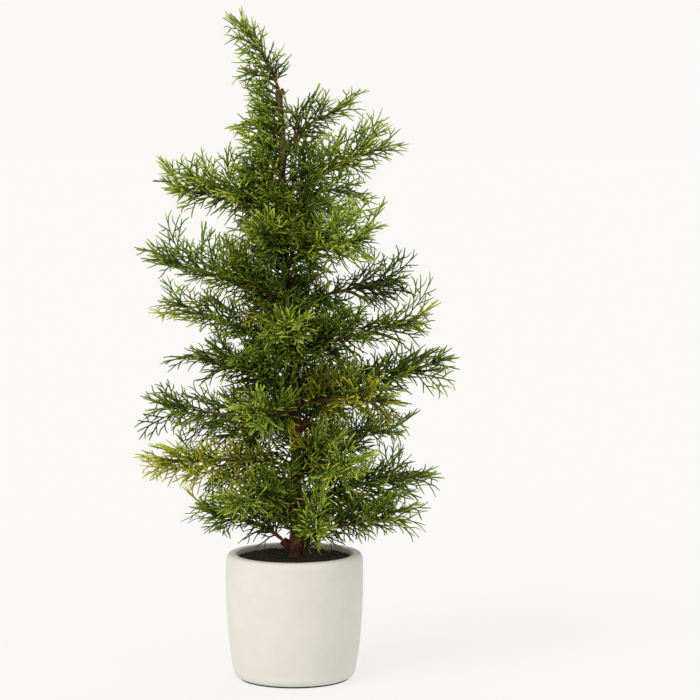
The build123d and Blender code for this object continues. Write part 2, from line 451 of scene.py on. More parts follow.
# ------------------------------------------------------------------ meshes from copies
@dataclass
class Heap:
    """Copies of moulds gathered into one mesh, each copy with its own vertices."""

    points: list[np.ndarray] = field(default_factory=list)
    faces: list[np.ndarray] = field(default_factory=list)
    sizes: list[np.ndarray] = field(default_factory=list)
    marks: list[np.ndarray] = field(default_factory=list)
    count: int = 0

    def add(self, mould: "Mould", points: np.ndarray, marks: np.ndarray) -> None:
        """Add a copy of the mould's faces, with its own vertices and three marks for each."""
        self.points.append(points)
        self.faces.append(mould.corners + self.count)
        self.sizes.append(mould.sizes)
        self.marks.append(marks)
        self.count += len(points)

    def as_mould(self) -> "Mould":
        """All the copies as one mould."""
        return Mould(
            np.concatenate(self.points),
            np.concatenate(self.faces),
            np.concatenate(self.sizes),
            np.concatenate(self.marks),
        )

    def as_object(self, name: str, attribute: str) -> Object:
        """Make the mesh object.

        Args:
            name: The piece's name.
            attribute: The name of the point attribute that holds the marks.

        Returns:
            The new object, linked to the scene.
        """
        whole = self.as_mould()
        mesh = bpy.data.meshes.new(name)
        mesh.vertices.add(len(whole.points))
        mesh.vertices.foreach_set("co", whole.points.astype(np.float32).ravel())
        mesh.loops.add(len(whole.corners))
        mesh.loops.foreach_set("vertex_index", whole.corners.astype(np.int32))
        mesh.polygons.add(len(whole.sizes))
        starts = np.concatenate([[0], np.cumsum(whole.sizes)[:-1]])
        mesh.polygons.foreach_set("loop_start", starts.astype(np.int32))
        mesh.polygons.foreach_set("loop_total", whole.sizes.astype(np.int32))
        mesh.update(calc_edges=True)
        mesh.polygons.foreach_set("use_smooth", np.ones(len(whole.sizes), bool))
        colours = mesh.attributes.new(attribute, "FLOAT_COLOR", "POINT")
        rgba = np.concatenate([whole.marks, np.ones((len(whole.marks), 1))], axis=1)
        colours.data.foreach_set("color", rgba.clip(0, 1).astype(np.float32).ravel())
        return add_piece(name, mesh)


@dataclass(frozen=True)
class Mould:
    """A mesh as arrays: vertices, face corners, corners per face, and three marks per vertex."""

    points: np.ndarray
    corners: np.ndarray
    sizes: np.ndarray
    marks: np.ndarray

    @classmethod
    def of(cls, piece: Object) -> "Mould":
        """Read a modelled object into arrays, with marks of 0, and delete it."""
        mesh = piece.data
        points = vertices(piece)
        corners = np.zeros(len(mesh.loops), int)
        mesh.loops.foreach_get("vertex_index", corners)
        sizes = np.zeros(len(mesh.polygons), int)
        mesh.polygons.foreach_get("loop_total", sizes)
        bpy.data.objects.remove(piece)
        return cls(points, corners, sizes, np.zeros((len(points), 3)))


def model_twig(name: str, rings: Sequence[tuple[float, float]], pointed: bool) -> Mould:
    """Model a slender closed twig of length 1 and radius 1 by extruding a disc along it.

    Args:
        name: A name for the object while it is made.
        rings: Heights and radii of the rings, from the base up.
        pointed: Whether the last ring runs on to a blunt point.

    Returns:
        The twig as a mould.
    """
    deselect()
    bpy.ops.mesh.primitive_circle_add(vertices=4, radius=rings[0][1], fill_type="NGON")
    piece = bpy.context.object
    piece.name = name
    edit_all()
    for (low, before), (high, after) in zip(rings, rings[1:]):
        bpy.ops.mesh.extrude_region_move(TRANSFORM_OT_translate={"value": (0, 0, high - low)})
        share = after / before
        bpy.ops.transform.resize(value=(share, share, 1), center_override=(0, 0, high))
    if pointed:
        bpy.ops.mesh.extrude_region_move(TRANSFORM_OT_translate={"value": (0, 0, 1 - rings[-1][0])})
        bpy.ops.mesh.merge(type="CENTER")
    bpy.ops.mesh.select_all(action="SELECT")
    bpy.ops.mesh.normals_make_consistent(inside=False)
    bpy.ops.object.mode_set(mode="OBJECT")
    return Mould.of(piece)


def model_granule() -> Mould:
    """Model one lumpy soil granule of radius 1.

    Returns:
        The granule as a mould.
    """
    deselect()
    bpy.ops.mesh.primitive_ico_sphere_add(subdivisions=1, radius=1)
    piece = bpy.context.object
    edit_all()
    bpy.ops.transform.resize(value=(1.15, 0.9, 0.8), center_override=(0, 0, 0))
    bpy.ops.transform.vertex_random(offset=0.18, uniform=1.0, seed=SEED % 100)
    bpy.ops.object.mode_set(mode="OBJECT")
    return Mould.of(piece)


# ------------------------------------------------------------------ foliage
@dataclass(frozen=True)
class TwigKit:
    """The two moulds that every sprig is put together from: a plain length and a blunt finger."""

    length: Mould
    finger: Mould

    @classmethod
    def build(cls) -> "TwigKit":
        """Model both."""
        plain = model_twig("plain_length", ((0.0, 1.0), (1.05, 1.0)), pointed=False)
        finger = model_twig("finger", ((0.0, 0.85), (0.5, 1.0), (0.93, 0.72)), pointed=True)
        return cls(plain, finger)


@dataclass
class SprigMould:
    """One moulded sprig: a spine with alternate side shoots, each of which forks into fingers.

    The sprig lies roughly in its own x-y plane with its spine along +x, and starts at the origin.
    Its marks are age, nothing yet, and chance. A shoot kicks back by kick_back of each fork's angle,
    side_share and side_share_left are a side shoot's length as shares of the spine's whole length
    and of what is left of it, and wood_age is the age mark at the end of a shoot's own wood.
    """

    kit: TwigKit
    seed: int
    length_mm: float
    stalk_mm: float = 6.0
    step_mm: float = 5.9
    side_step_share: float = 0.8
    step_spread: Range = (0.85, 1.15)
    fork_deg: float = 39.0
    fork_spread: Range = (0.75, 1.25)
    kick_back: float = 0.2
    fingers_mm: Range = (6.5, 12.0)
    lean_share: float = 0.14
    bow_share: float = 0.07
    radius_mm: float = 0.68
    spine_share: float = 1.12
    finger_share: float = 0.95
    side_share: float = 0.2
    side_share_left: float = 0.36
    wood_age: float = 0.62
    heap: Heap = field(default_factory=Heap)

    def build(self) -> Mould:
        """Grow the sprig.

        Returns:
            The sprig as a mould, in metres.
        """
        self.chance = np.random.default_rng(self.seed)
        self.shoot(np.zeros(3), np.array((1.0, 0.0, 0.0)), self.length_mm, 0, 0.0)
        whole = self.heap.as_mould()
        return Mould(whole.points * MM, whole.corners, whole.sizes, whole.marks)

    def finger_length(self) -> float:
        """A finger's length in mm."""
        return self.chance.uniform(*self.fingers_mm)

    def leaned(self, ahead: np.ndarray) -> np.ndarray:
        """A direction turned a little out of the sprig's plane."""
        return unit(ahead + np.array((0.0, 0.0, self.chance.normal(0, self.lean_share))))

    def shoot(self, here: np.ndarray, ahead: np.ndarray, length: float, order: int, age: float) -> None:
        """Grow one shoot and what forks off it.

        Args:
            here: Where it begins, in mm.
            ahead: Its direction.
            length: Its length in mm.
            order: 0 for the spine and 1 for a side shoot.
            age: The age mark at its start, from 0 for old to 1 for the newest growth.
        """
        upward = np.array((0.0, 0.0, 1.0))
        spine = order == 0
        radius = self.radius_mm * (self.spine_share if spine else 1.0)
        run = (self.stalk_mm if spine else self.step_mm * 0.9) * self.chance.uniform(*self.step_spread)
        last = self.finger_length()
        side = self.chance.choice((-1, 1))
        gone = 0.0
        while gone + run + last < length:
            there = here + ahead * run
            gone += run
            newer = age + (self.wood_age - age) * gone / length
            self.twig(self.kit.length, here, there, radius, age, newer, 0.0)
            here, age = there, newer
            angle = side * math.radians(self.fork_deg) * self.chance.uniform(*self.fork_spread)
            out = self.leaned(turned(ahead, upward, angle))
            if spine:
                reach = self.side_share * length + self.side_share_left * (length - gone)
                self.shoot(here, out, max(reach * self.chance.uniform(*self.step_spread), last), 1, age)
            else:
                self.finger(here, out, self.finger_length(), age)
            ahead = self.leaned(turned(ahead, upward, -self.kick_back * angle))
            side = -side
            share = 1.0 if spine else self.side_step_share
            run = self.step_mm * share * self.chance.uniform(*self.step_spread)
        self.finger(here, ahead, length - gone, age)

    def finger(self, here: np.ndarray, ahead: np.ndarray, length: float, age: float) -> None:
        """Lay one finger, bowed a little to one side."""
        bow = self.chance.normal(0, self.bow_share) * length
        radius = self.radius_mm * self.finger_share
        self.twig(self.kit.finger, here, here + ahead * length, radius, age, 1.0, bow)

    def twig(
        self,
        mould: Mould,
        start: np.ndarray,
        end: np.ndarray,
        radius: float,
        age_start: float,
        age_end: float,
        bow: float,
    ) -> None:
        """Lay one twig between two points.

        Args:
            mould: The twig's mould.
            start: Its base, in mm.
            end: Its end, in mm.
            radius: Its radius in mm.
            age_start: The age mark at its base.
            age_end: The age mark at its end.
            bow: How far its middle bows to one side, in mm.
        """
        run = end - start
        along = unit(run)
        across = unit(np.cross((0.0, 0.0, 1.0), along))
        upward = np.cross(along, across)
        share = mould.points[:, 2:3]
        ring = mould.points[:, 0:1] * across + mould.points[:, 1:2] * upward
        points = start + run * share + ring * radius + across * (4 * bow * share * (1 - share))
        age = age_start + (age_end - age_start) * share.clip(0, 1)
        chance = np.full_like(age, self.chance.random())
        self.heap.add(mould, points, np.concatenate([age, np.zeros_like(age), chance], axis=1))


@dataclass(frozen=True)
class SprigTray:
    """The moulded sprigs, sorted by length, that the whole tree is dressed from."""

    lengths: np.ndarray
    sprigs: tuple[Mould, ...]

    @classmethod
    def build(cls, kit: TwigKit) -> "SprigTray":
        sprigs = (SprigMould(kit, SEED + k, length).build() for k, length in enumerate(SPRIGS_MM))
        return cls(np.array(SPRIGS_MM) * MM, tuple(sprigs))

    def pick(self, length: float, chance: np.random.Generator) -> tuple[Mould, float]:
        """Take one of the sprigs nearest to this length, and its own length."""
        nearest = int(np.abs(self.lengths - length).argmin())
        spot = int(np.clip(nearest + chance.integers(-1, 2), 0, len(self.sprigs) - 1))
        return self.sprigs[spot], float(self.lengths[spot])


@dataclass(frozen=True)
class Sprout:
    """Where one sprig leaves its stem, and how.

    Attributes:
        share: Its place along the stem, from 0 at the root to 1 at the end.
        off: The angle off the stem, in radians.
        roll: The turn about the stem, in radians, from the branch's across towards its upper side.
        length: Its length in metres.
    """

    share: float
    off: float
    roll: float
    length: float


@dataclass
class SprigWork:
    """Bends and places sprigs, and marks how yellow and how fresh each one is.

    when_green and when_yellow are the yellowing marks of the two kinds. A sprig that isn't fresh at
    all has its age marks raised to oldest_bend and scaled by oldest_share.
    """

    tray: SprigTray
    chance: np.random.Generator
    yellow: float
    fresh: float
    droop: float = 0.1
    droop_spread: float = 0.2
    curl_spread: float = 0.12
    fresh_spread: float = 0.25
    when_green: Range = (0.0, 0.2)
    when_yellow: Range = (0.6, 1.0)
    oldest_bend: float = 1.6
    oldest_share: float = 0.55
    heap: Heap = field(default_factory=Heap)

    def place(
        self, here: np.ndarray, ahead: np.ndarray, fan: np.ndarray, length: float, newness_and_shade: float = 1.0
    ) -> None:
        """Add one sprig.

        Args:
            here: Where it starts.
            ahead: The direction of its spine.
            fan: The direction across its fan.
            length: About how long it is.
            newness_and_shade: The share of the work's freshness that it has; inner sprigs get less of
                it, so they come out darker as painted shade.
        """
        mould, own_length = self.tray.pick(length, self.chance)
        x, y, z = mould.points.T
        share = x / own_length
        curl = self.chance.normal(0, self.curl_spread) * own_length * share**2
        normal = np.cross(ahead, fan)
        points = here + np.outer(x, ahead) + np.outer(y + curl, fan) + np.outer(z, normal)
        sag = self.chance.normal(self.droop, self.droop_spread)
        points[:, 2] -= sag * own_length * share**2 / 2
        marks = mould.marks.copy()
        turned_yellow = self.chance.random() < self.yellow
        marks[:, 1] = self.chance.uniform(*(self.when_yellow if turned_yellow else self.when_green))
        # Painted shade: a low newness lowers the age marks, so sprigs deep inside the tree come out
        # darker.
        fresh = np.clip(self.fresh * newness_and_shade + self.chance.normal(0, self.fresh_spread), 0, 1)
        bend = self.oldest_bend - fresh
        marks[:, 0] = marks[:, 0] ** bend * (self.oldest_share + (1 - self.oldest_share) * fresh)
        marks[:, 2] = 0.5 * marks[:, 2] + 0.5 * self.chance.random()
        self.heap.add(mould, points, marks)


@dataclass(frozen=True)
class BranchFrame:
    """A branch's place, read from the frame: its joint, and the shape of its stem and spray.

    x runs along the spray, y across it and z out of its upper face.
    """

    name: str
    root: np.ndarray
    elbow: np.ndarray
    tip: np.ndarray
    along: np.ndarray
    across: np.ndarray
    upward: np.ndarray
    half_width: float
    nodes: tuple[str, ...]

    @classmethod
    def read(cls, joint: dict) -> "BranchFrame":
        """Read one branch from its joint and its nodes.

        Args:
            joint: The joint's entry in the record.

        Returns:
            The branch's frame.
        """
        name = joint["child"]
        nodes = tuple(frame["record"]["behaviour"]["bodies"][name])
        spray = frame["nodes"][next(n for n in nodes if not n.endswith("_stem"))]
        co = vertices(spray)
        root = np.array(joint["pos_m"])
        hinge = np.array(joint["axis"])
        off = (co - root) @ hinge
        half_width = float(np.ptp(off) / 2)
        middle = root + hinge * (off.max() + off.min()) / 2
        sides = [co[np.abs(off - edge) < 0.1 * MM].mean(0) for edge in (off.min(), off.max())]
        widest = (sides[0] + sides[1]) / 2
        reach = np.linalg.norm(co - middle, axis=1)
        tip = co[reach > reach.max() - 0.2 * MM].mean(0)
        along = unit(tip - widest)
        elbow = tip - along * np.linalg.norm(tip - widest) / (1 - WIDEST_AT)
        across = -hinge
        return cls(name, root, elbow, tip, along, across, np.cross(along, across), half_width, nodes)

    @property
    def length(self) -> float:
        """The spray's length."""
        return float(np.linalg.norm(self.tip - self.elbow))

    def width_at(self, share: float) -> float:
        """The spray's half width at a share of its length, which is 0 at the elbow."""
        widths = ((-0.4, 0, 0.3, WIDEST_AT, 0.86, 1), (0.2, 0.3, 0.8, 1, 0.66, 0.22))
        return on_curve(share, widths) * self.half_width


class Habit(Enum):
    """How a branch carries its foliage: how far apart its clusters are, in mm, and each one's rolls."""

    FULL = (5.6, ((0, 180, 90, -60, 130), (25, 155, -90, 60, 210), (-20, 200, 100, 45, -120)))
    TUFT = (5.0, ((0, 180, 90, -60, 130), (30, 150, -80, 70, 205), (-25, 205, 110, 50, -115)))
    OPEN = (6.6, ((0, 180, 90), (60, 240, -40), (20, 160, -90), (120, -60, 200)))

    @property
    def spacing(self) -> float:
        """The distance between clusters, in metres."""
        return self.value[0] * MM

    def rolls(self, cluster: int) -> tuple[float, ...]:
        """The rolls of a cluster's sprigs, in radians."""
        return tuple(math.radians(roll) for roll in self.value[1][cluster % len(self.value[1])])


@dataclass(frozen=True)
class BranchLook:
    """What sets one branch's foliage apart from another's.

    Attributes:
        habit: How it carries its sprigs.
        yellow: The share of its sprigs that have turned yellow.
        fresh: How pale its growth is: 0 is old, 1 new, and more leaves fewer old sprigs.
        reach: How far its sprigs reach to the sides, as a share of the spray's half width.
        lift: How far they reach up, as a share of the usual depth.
        hang: How far they reach down, as a share of the usual depth.
        short_mm: How far the foliage stops short of the spray's tip.
    """

    habit: Habit = Habit.FULL
    yellow: float = 0.03
    fresh: float = 0.5
    reach: float = 1.0
    lift: float = 1.0
    hang: float = 0.75
    short_mm: float = 0.0


LOOKS = {
    "left_low": BranchLook(hang=0.2, lift=1.4, short_mm=18),
    "right_low": BranchLook(hang=0.45),
    "front_low": BranchLook(Habit.TUFT, fresh=0.95, lift=1.3, hang=0.1),
    "back_low": BranchLook(fresh=0.3, hang=0.15),
    "right_fork": BranchLook(lift=0.8, hang=1.1, short_mm=-3),
    "front_left_low": BranchLook(Habit.TUFT, fresh=0.6, hang=0.4),
    "left_short": BranchLook(lift=1.5, short_mm=-9),
    "left_yellow": BranchLook(Habit.TUFT, yellow=0.75, fresh=0.8, lift=0.35, hang=1.0, short_mm=3),
    "right_back_low": BranchLook(fresh=0.35, lift=1.0),
    "front_right_low": BranchLook(Habit.TUFT, fresh=0.8, hang=0.6),
    "left_broad": BranchLook(lift=0.9, hang=1.5, short_mm=-2),
    "right_thick": BranchLook(Habit.TUFT, fresh=0.4, lift=1.0, hang=0.6, short_mm=-2),
    "front_left_mid": BranchLook(Habit.TUFT, fresh=0.7),
    "front_right_yellow": BranchLook(yellow=0.45, fresh=0.5),
    "left_pale": BranchLook(fresh=0.9, lift=1.05, hang=0.3, short_mm=2),
    "front_mid": BranchLook(Habit.TUFT, fresh=0.85),
    "right_dark": BranchLook(fresh=0.25, lift=0.3, hang=0.7, short_mm=8),
    "left_high": BranchLook(fresh=0.75, lift=1.6, hang=0.15, short_mm=-3),
    "right_pale": BranchLook(fresh=1.0, lift=1.5),
    "front_high": BranchLook(Habit.TUFT, fresh=0.75),
    "left_top": BranchLook(fresh=1.15, lift=1.6, hang=0.55, short_mm=2),
    "back_right_top": BranchLook(Habit.OPEN, fresh=0.9, lift=1.1, hang=1.5, short_mm=-4),
    "right_top": BranchLook(fresh=1.15, lift=1.4, hang=0.4),
    "right_tip": BranchLook(fresh=1.0, reach=0.8, lift=1.2, short_mm=-4),
    "leader": BranchLook(Habit.TUFT, fresh=1.25, reach=0.8, lift=0.5, hang=1.1, short_mm=-5),
}


@dataclass
class Branch:
    """One branch: a smooth wired stem with knots, and sprigs that leave it in clusters all round.

    Each pair of rows in depths, newness and greening holds shares of the stem's length and a value
    at each; the low newness near the root darkens the inner sprigs as painted shade. tip_fan_deg
    holds the rolls and the angles off the stem of the sprigs at its end.
    """

    place: BranchFrame
    look: BranchLook
    tray: SprigTray
    seed: int
    first_cluster: float = 0.15
    last_cluster: float = 0.95
    off_deg: Range = (54.0, 30.0)
    off_spread_deg: float = 6.0
    roll_spread_deg: float = 12.0
    depth_mm: float = 25.0
    depths: Curve = ((0.1, 0.6, 1.0), (1.85, 1.1, 0.5))
    # Painted shade: sprigs near the root are made less fresh and so darker, and those at the tip paler.
    newness_and_shade: Curve = ((0.1, 0.5, 1.0), (0.3, 0.9, 1.25))
    greening: Curve = ((0.3, 0.8), (0.0, 0.8))
    sprigs_mm: Range = (25.0, 56.0)
    tip_sprig_mm: float = 36.0
    tip_gap_mm: float = 1.5
    tip_fan_deg: tuple[tuple[float, float], ...] = ((0, 3), (0, 24), (180, 24), (90, 18), (-90, 16))
    packing: float = 1.12
    thinning: float = 0.36
    crowding: float = 1.3
    root_radius_mm: float = 1.7
    slim_share: float = 0.75
    tip_radius_mm: float = 0.7
    knot_mm: float = 0.6
    knot_reach_mm: float = 1.3
    end_round_mm: float = 1.2
    stem_sides: int = 9
    stem_ring_mm: float = 1.6
    line_points: int = 70

    def build(self, stem_finish: Material, leaf_finish: Material) -> None:
        """Build the stem and the foliage, and fix them to their body.

        Args:
            stem_finish: The stem's material.
            leaf_finish: The foliage's material.
        """
        self.chance = np.random.default_rng(self.seed)
        self.line = self.centre_line()
        self.run = float(np.linalg.norm(np.diff(self.line, axis=0), axis=1).sum())
        sprouts = self.sprouts()
        slots = {part["node"]: part["material_slot"] for part in frame["record"]["subparts"]}
        node = self.place.nodes[-1]
        foliage = self.foliage(sprouts)
        dress(foliage, leaf_finish)
        settle(foliage, self.place.name, slots[node], node)
        stem = self.stem(sprouts)
        dress(stem, stem_finish)
        if len(self.place.nodes) > 1:
            settle(stem, self.place.name, "stem", self.place.nodes[0])
        else:
            settle(stem, self.place.name, slots[node])
        faces = len(foliage.data.loops) - 2 * len(foliage.data.polygons)
        log.info("%s: %d sprigs, %d triangles", self.place.name, len(sprouts), faces)

    def centre_line(self) -> np.ndarray:
        """The stem's centre line as closely spaced points, from the ball end to near the tip."""
        p = self.place
        end = p.tip - p.along * (self.tip_sprig_mm + self.tip_gap_mm + self.look.short_mm) * MM
        early = p.root + (p.elbow - p.root) * 0.5
        later = p.elbow + (end - p.elbow) * 0.33
        knots = np.array([p.root, early, p.elbow + p.upward * MM, later, (later + end) / 2, end])
        knots[3:] += self.chance.normal(0, 1.6 * MM, (3, 1)) * p.across
        knots[3:] += self.chance.normal(0, 1.2 * MM, (3, 1)) * p.upward
        return self.bezier(knots, np.linspace(0, 1, self.line_points))

    @staticmethod
    def bezier(knots: np.ndarray, share: np.ndarray) -> np.ndarray:
        """Points on the Bezier curve of these control points, at these shares."""
        n = len(knots) - 1
        weights = [math.comb(n, k) * share**k * (1 - share) ** (n - k) for k in range(n + 1)]
        return np.stack(weights, axis=1) @ knots

    def sprouts(self) -> list[Sprout]:
        """Where sprigs leave the stem: in clusters along it, and in a fan at its end."""
        habit = self.look.habit
        covered = self.last_cluster - self.first_cluster
        count = max(3, round(self.run * covered / habit.spacing * self.packing) + 1)
        out = []
        for k in range(count):
            share = self.first_cluster + covered * (k / (count - 1)) ** self.crowding
            for roll in habit.rolls(k):
                if self.chance.random() > self.thinning * share:
                    out.append(self.sprout(share, roll))
        for roll, off in self.tip_fan_deg:
            length = self.tip_sprig_mm * MM * (1.0 - 0.009 * off) * self.chance.uniform(0.9, 1.05)
            out.append(Sprout(1.0, math.radians(off), math.radians(roll), length))
        return out

    def sprout(self, share: float, roll: float) -> Sprout:
        """One sprig of a cluster.

        Args:
            share: Its place along the stem.
            roll: Its turn about the stem, in radians.

        Returns:
            The sprig's start, long enough to reach the edge of the branch on its side.
        """
        p = self.place
        along = float((self.point_at(share) - p.elbow) @ p.along) / p.length
        roll += math.radians(self.chance.normal(0, self.roll_spread_deg))
        steepness = on_curve(share, ((self.first_cluster, 1.0), self.off_deg))
        off = math.radians(steepness + self.chance.normal(0, self.off_spread_deg))
        depth = min(self.depth_mm * MM, p.half_width) * on_curve(share, self.depths)
        rise = self.look.lift if math.sin(roll) > 0 else self.look.hang
        level = p.width_at(along + 0.15) * self.look.reach * math.cos(roll)
        steep = depth * rise * math.sin(roll)
        reach = math.hypot(level, steep) / math.sin(off) * self.chance.uniform(0.8, 1.15)
        least = self.sprigs_mm[0] * MM * min(1.0, self.look.reach * 1.3)
        return Sprout(share, off, roll, float(np.clip(reach, least, self.sprigs_mm[1] * MM)))

    def point_at(self, share: float) -> np.ndarray:
        """The centre line's point at a share of its length."""
        spot = share * (len(self.line) - 1)
        low = min(int(spot), len(self.line) - 2)
        return self.line[low] + (self.line[low + 1] - self.line[low]) * (spot - low)

    def frame_at(self, share: float) -> tuple[np.ndarray, np.ndarray, np.ndarray]:
        """The stem's own along, across and up directions at a share of its length."""
        low = min(int(share * (len(self.line) - 1)), len(self.line) - 2)
        along = unit(self.line[low + 1] - self.line[low])
        across = unit(self.place.across - along * (self.place.across @ along))
        return along, across, np.cross(along, across)

    def foliage(self, sprouts: Iterable[Sprout]) -> Object:
        """Lay the sprigs along the stem and join them.

        Args:
            sprouts: Where each sprig leaves the stem.

        Returns:
            The foliage object.
        """
        work = SprigWork(self.tray, self.chance, self.look.yellow, self.look.fresh)
        for sprout in sprouts:
            along, across, upward = self.frame_at(sprout.share)
            side = across * math.cos(sprout.roll) + upward * math.sin(sprout.roll)
            ahead = along * math.cos(sprout.off) + side * math.sin(sprout.off)
            fan = unit(np.cross(ahead, np.cross(side, along)))
            twist = 22 + 35 * abs(math.sin(sprout.roll))
            fan = turned(fan, ahead, math.radians(self.chance.normal(0, twist)))
            newness_and_shade = on_curve(sprout.share, self.newness_and_shade)
            work.place(self.point_at(sprout.share), ahead, fan, sprout.length, newness_and_shade)
        return work.heap.as_object(f"{self.place.name}_leaves", LEAF)

    def stem(self, sprouts: Iterable[Sprout]) -> Object:
        """Sweep a ring along the centre line, thicker at each knot, and close both ends.

        Args:
            sprouts: Where the sprigs leave it.

        Returns:
            The stem object.
        """
        rings = max(12, round(self.run / (self.stem_ring_mm * MM)))
        places = np.array([sprout.share for sprout in sprouts])
        angles = np.arange(self.stem_sides) * 2 * math.pi / self.stem_sides
        root = self.root_radius_mm * (1.0 if self.look.habit is Habit.FULL else self.slim_share)
        points, marks = [], []
        for k in range(rings + 1):
            share = k / rings
            _, across, upward = self.frame_at(share)
            near = float(np.exp(-(((places - share) * self.run / (self.knot_reach_mm * MM)) ** 2)).max())
            taper = self.tip_radius_mm + (root - self.tip_radius_mm) * (1 - share) ** 1.2
            from_end = min(share, 1 - share) * self.run / (self.end_round_mm * MM)
            closing = min(1.0, math.sqrt(from_end + 0.02))
            radius = (taper + self.knot_mm * near) * closing * MM
            ripple = 1 + 0.1 * np.sin(angles * 3 + k * 1.7)
            ripple = ripple + self.chance.normal(0, 0.04, self.stem_sides)
            ring = np.outer(np.cos(angles), across) + np.outer(np.sin(angles), upward)
            points.append(self.point_at(share) + ring * (radius * ripple)[:, None])
            greening = on_curve(share, self.greening)
            marks.append(np.tile((greening, 0.7 * near, self.chance.random()), (self.stem_sides, 1)))
        heap = Heap()
        faces = self.tube_faces(len(points), self.stem_sides)
        heap.add(faces, np.concatenate(points), np.concatenate(marks))
        return heap.as_object(f"{self.place.name}_twig", WOOD)

    @staticmethod
    def tube_faces(rings: int, sides: int) -> Mould:
        """The faces of a closed tube, as a mould without points.

        Args:
            rings: How many rings it has.
            sides: How many vertices each ring has.

        Returns:
            A mould whose faces point outward.
        """
        corners, sizes = [], []
        for k in range(rings - 1):
            for j in range(sides):
                a, b = k * sides + j, k * sides + (j + 1) % sides
                corners += [a, b, b + sides, a + sides]
                sizes.append(4)
        corners += list(reversed(range(sides)))
        corners += [(rings - 1) * sides + j for j in range(sides)]
        sizes += [sides, sides]
        none = np.zeros((0, 3))
        return Mould(none, np.array(corners), np.array(sizes), none)


# ------------------------------------------------------------------ pot and soil
def swelling(spot: Sequence[float], swells_mm: Sequence[tuple[float, float]]) -> float:
    """Noise at a point: for each width in mm, its share of the whole."""
    return sum(share * noise.noise(Vector(spot) / (width * MM)) for width, share in swells_mm)


@dataclass
class Pot:
    """The cement pot: a turned profile with a soft rim and a full foot, cast a little uneven."""

    steps: int = 144
    corner_out_mm: float = 5.2
    corner_up_mm: float = 8.0
    foot_in_mm: float = 6.2
    foot_curve: float = 3.0
    inner_taper_mm: float = 2.2
    rim_out_mm: float = 3.6
    rim_down_mm: float = 6.5
    lip_mm: float = 1.8
    wall_mm: float = 9.6
    floor_mm: float = 12.0
    uneven_mm: float = 0.35
    swells_mm: tuple[tuple[float, float], ...] = ((34.0, 1.0), (9.0, 0.4))

    def build(self, finish: Material) -> None:
        """Spin the profile, let the surface wander, and fix it to the root.

        Args:
            finish: The pot's material.
        """
        low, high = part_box("pot")
        mesh = bpy.data.meshes.new("cement_pot")
        points = self.profile(high.x, low.z, high.z)
        edges = [(i, i + 1) for i in range(len(points) - 1)]
        mesh.from_pydata([(x, 0, z) for x, z in points], edges, [])
        piece = add_piece("cement_pot", mesh)
        edit_all()
        bpy.ops.mesh.spin(steps=self.steps, angle=2 * math.pi, center=(0, 0, 0), axis=(0, 0, 1))
        bpy.ops.mesh.select_all(action="SELECT")
        bpy.ops.mesh.remove_doubles(threshold=0.02 * MM)
        bpy.ops.mesh.normals_make_consistent(inside=False)
        bpy.ops.object.mode_set(mode="OBJECT")
        for vertex in piece.data.vertices:
            wander = swelling(vertex.co, self.swells_mm)
            outward = Vector((vertex.co.x, vertex.co.y, 0))
            if outward.length > self.wall_mm * MM:
                vertex.co += outward.normalized() * (wander * self.uneven_mm * MM)
        bpy.ops.object.shade_smooth()
        dress(piece, finish)
        settle(piece, "root", "cement", "pot")
        log.info("pot: %d faces", len(piece.data.polygons))

    def profile(self, radius: float, low: float, high: float) -> list[tuple[float, float]]:
        """The pot's outline from the middle of its underside round to the middle of its floor.

        Args:
            radius: The outer radius at the rim.
            low: The height of the underside.
            high: The height of the rim.

        Returns:
            Radii and heights.
        """
        foot_in = self.foot_in_mm * MM
        corner_out, corner_up = self.corner_out_mm * MM, self.corner_up_mm * MM
        rim_out, rim_down, lip = self.rim_out_mm * MM, self.rim_down_mm * MM, self.lip_mm * MM
        inner, floor = radius - self.wall_mm * MM, self.floor_mm * MM
        foot = radius - foot_in
        quarter = [math.pi / 2 * k / 10 for k in range(11)]
        out = [(0.0, low)] + [(foot * k / 6, low) for k in range(1, 5)]
        for a in quarter:
            out.append((foot - corner_out * (1 - math.sin(a)), low + corner_up * (1 - math.cos(a))))
        for share in (k / 25 for k in range(1, 25)):
            level = low + corner_up + (high - rim_down - low - corner_up) * share
            out.append((radius - foot_in * (1 - share) ** self.foot_curve, level))
        for a in quarter:
            out.append((radius - rim_out * (1 - math.cos(a)), high - rim_down * (1 - math.sin(a))))
        for a in quarter:
            out.append((inner + lip * (1 - math.sin(a)), high - lip * (1 - math.cos(a))))
        for share in (k / 12 for k in range(1, 13)):
            level = high - lip + (floor - high + lip) * share
            out.append((inner - self.inner_taper_mm * MM * share, level))
        out += [(inner * 0.5, floor), (0.0, floor)]
        return out


